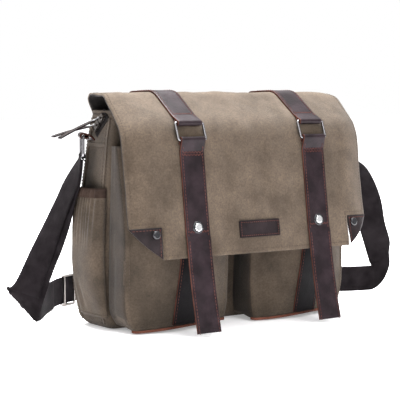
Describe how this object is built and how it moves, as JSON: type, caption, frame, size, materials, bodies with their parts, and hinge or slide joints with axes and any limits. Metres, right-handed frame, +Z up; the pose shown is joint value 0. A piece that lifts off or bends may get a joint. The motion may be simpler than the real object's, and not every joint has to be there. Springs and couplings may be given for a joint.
{
  "type": "messenger bag",
  "caption": "Soft canvas messenger bag with a strapped front flap, front and side pockets, a zipped top, side rings and a long webbing shoulder strap.",
  "frame": {"origin": "centre of the flat base, midway between the left and right sides", "axes": "+Z up, -Y the front that carries the flap and pockets, +X to the right as seen from the front"},
  "size_m": [0.6302, 0.3597, 0.3052],
  "materials": {
    "body_canvas": "washed cotton canvas",
    "flap_canvas": "washed cotton canvas, faded along the top",
    "lining_cloth": "plain weave lining",
    "board": "stiff base insert",
    "zip_tape": "woven zip tape",
    "zip_metal": "dark nickel",
    "piping_leather": "raw reddish-brown edge",
    "dark_leather": "smooth, near black",
    "strap_leather": "waxed dark purple-brown with edge stitching",
    "elastic": "gathered elastic band",
    "webbing": "ribbed cotton webbing",
    "snap_metal": "polished nickel",
    "snap_black": "gloss black",
    "ring_metal": "gunmetal wire"
  },
  "bodies": {
    "bag": {"main_shell": "body_canvas", "lining": "lining_cloth", "base_board": "board", "top_rim": "body_canvas", "zip_tape_left": "zip_tape", "zip_tape_right": "zip_tape", "front_pocket_left": "body_canvas", "front_pocket_right": "body_canvas", "pocket_piping_left": "piping_leather", "pocket_piping_right": "piping_leather", "pocket_strip_left": "dark_leather", "pocket_strip_right": "dark_leather", "snap_posts": "snap_metal", "side_pocket_left": "body_canvas", "side_pocket_right": "body_canvas", "side_pocket_trim_left": "elastic", "side_pocket_trim_right": "elastic", "flap_root": "flap_canvas", "strap_root_left": "strap_leather", "strap_root_right": "strap_leather", "tab_anchor_left": "strap_leather", "tab_anchor_right": "strap_leather"},
    "flap": {"flap_panel": "flap_canvas", "flap_lining": "lining_cloth", "upper_strap_left": "strap_leather", "upper_strap_right": "strap_leather", "flap_ring_left": "ring_metal", "flap_ring_right": "ring_metal", "lower_strap_left": "strap_leather", "lower_strap_right": "strap_leather", "snap_studs": "snap_metal", "snap_sockets": "snap_metal", "corner_tab_left": "strap_leather", "corner_tab_right": "strap_leather", "corner_snaps": "snap_black", "label_patch": "strap_leather"},
    "tail_left": {"strap_tail_left": "strap_leather"},
    "tail_right": {"strap_tail_right": "strap_leather"},
    "zip_panel_front": {"zip_panel_front": "body_canvas", "zip_teeth_front": "zip_metal"},
    "zip_panel_back": {"zip_panel_back": "body_canvas", "zip_teeth_back": "zip_metal"},
    "slider_upper": {"slider_upper": "zip_metal"},
    "slider_lower": {"slider_lower": "zip_metal"},
    "pull_upper": {"pull_link_upper": "zip_metal", "pull_leather_upper": "strap_leather"},
    "pull_lower": {"pull_link_lower": "zip_metal", "pull_leather_lower": "strap_leather"},
    "shoulder_strap": {"tab_loop_left": "strap_leather", "tab_loop_right": "strap_leather", "side_ring_left": "ring_metal", "side_ring_right": "ring_metal", "webbing_left": "webbing", "webbing_rear": "webbing", "webbing_right": "webbing", "strap_adjuster": "zip_metal"}
  },
  "joints": [
    {"name": "flap_open", "type": "hinge", "parent": "bag", "child": "flap", "pos_m": [0, 0.031, 0.286], "axis": [-1, 0, 0], "range_deg": [0, 135]},
    {"name": "tail_lift_left", "type": "hinge", "parent": "flap", "child": "tail_left", "pos_m": [-0.0975, -0.10812, 0.1205], "axis": [-1, 0, 0], "range_deg": [0, 95]},
    {"name": "tail_lift_right", "type": "hinge", "parent": "flap", "child": "tail_right", "pos_m": [0.0975, -0.10812, 0.1205], "axis": [-1, 0, 0], "range_deg": [0, 95]},
    {"name": "closure_fold_front", "type": "hinge", "parent": "bag", "child": "zip_panel_front", "pos_m": [0, -0.0271, 0.2782], "axis": [-1, 0, 0], "range_deg": [0, 80]},
    {"name": "closure_fold_back", "type": "hinge", "parent": "bag", "child": "zip_panel_back", "pos_m": [0, 0.0241, 0.2782], "axis": [1, 0, 0], "range_deg": [0, 80]},
    {"name": "slider_upper_run", "type": "slide", "parent": "bag", "child": "slider_upper", "axis": [0.0952, -0.6839, 0.7233], "range_m": [0, 0.0035]},
    {"name": "slider_lower_run", "type": "slide", "parent": "bag", "child": "slider_lower", "axis": [0.0952, -0.6839, 0.7233], "range_m": [-0.003, 0]},
    {"name": "pull_upper_lift", "type": "hinge", "parent": "slider_upper", "child": "pull_upper", "pos_m": [-0.18074, -0.00655, 0.27003], "axis": [0, 1, 0], "range_deg": [0, 60]},
    {"name": "pull_lower_lift", "type": "hinge", "parent": "slider_lower", "child": "pull_lower", "pos_m": [-0.18194, 0.002, 0.26099], "axis": [0, 1, 0], "range_deg": [0, 60]},
    {"name": "strap_swing", "type": "hinge", "parent": "bag", "child": "shoulder_strap", "pos_m": [0, 0.02, 0.24], "axis": [1, 0, 0], "range_deg": [0, 90]}
  ],
  "couplings": [
    {"joint": "closure_fold_back", "follows": "closure_fold_front", "ratio": 1}
  ]
}
